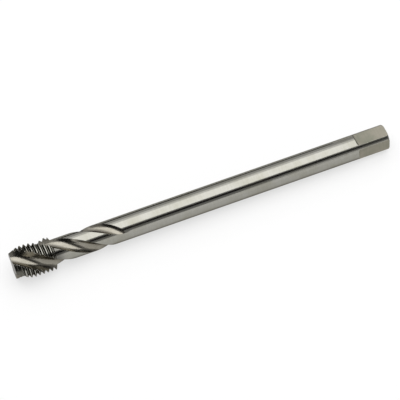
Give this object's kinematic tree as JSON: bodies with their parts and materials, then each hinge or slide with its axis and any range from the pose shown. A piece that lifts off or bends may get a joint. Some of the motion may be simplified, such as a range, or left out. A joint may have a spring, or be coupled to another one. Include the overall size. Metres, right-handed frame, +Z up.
{
  "type": "thread tap",
  "caption": "Machine thread tap with a short tapered fine-pitch thread, right-hand spiral flutes, a long slimmer round shank and a square drive end.",
  "frame": {"origin": "on the surface that the tap lies on, under the middle of its bounding box", "axes": "+X along the tool from the cutting tip towards the square drive end, +Z up; the tap lies at rest on a thread crest and on the end of its round shank, so its axis falls 0.7 degrees towards +X"},
  "size_m": [0.0936, 0.008, 0.008],
  "materials": {
    "ground_steel": "bright ground high-speed steel, polished in the flutes and on the shank, satin on the driving flats"
  },
  "bodies": {
    "root": {"thread_tap": "ground_steel"}
  },
  "joints": []
}
